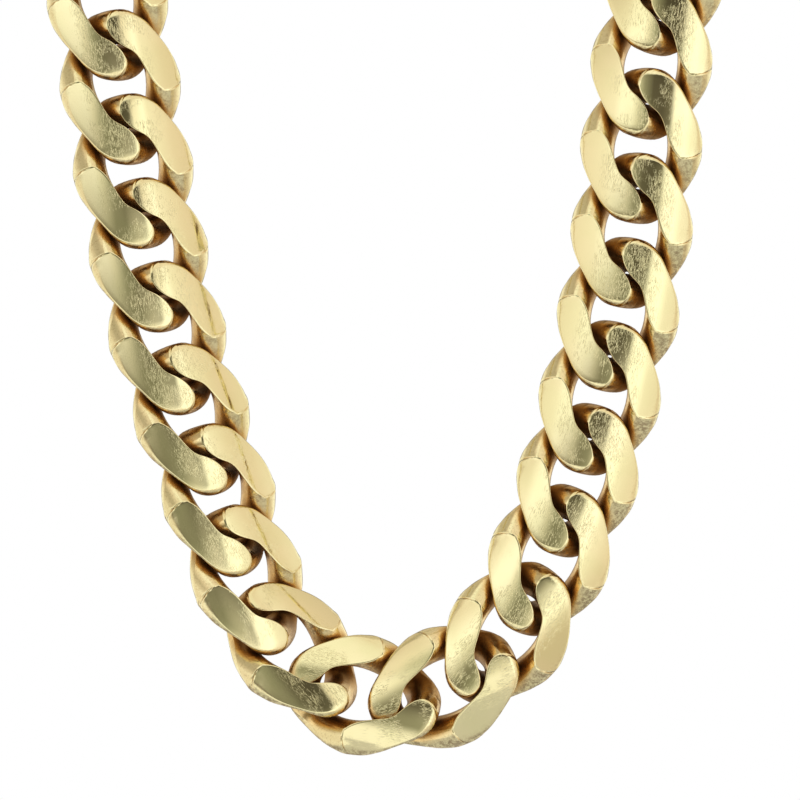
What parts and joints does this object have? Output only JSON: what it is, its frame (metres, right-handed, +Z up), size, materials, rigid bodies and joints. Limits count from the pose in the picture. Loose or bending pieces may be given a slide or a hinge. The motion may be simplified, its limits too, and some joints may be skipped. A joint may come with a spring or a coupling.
{
  "type": "curb chain necklace",
  "caption": "Heavy curb chain necklace of twisted oval links filed flat, closed behind the neck by a plain clasp.",
  "frame": {"origin": "middle of the clasp, where the necklace hangs at the nape", "axes": "+Z up, the front of the necklace faces -Y, +X to the right as seen from the front"},
  "size_m": [0.1394, 0.1262, 0.2015],
  "materials": {
    "gold": "satin, filed and lightly brushed"
  },
  "bodies": {
    "root": {"chain_left": "gold", "chain_right": "gold", "clasp": "gold"}
  },
  "joints": []
}
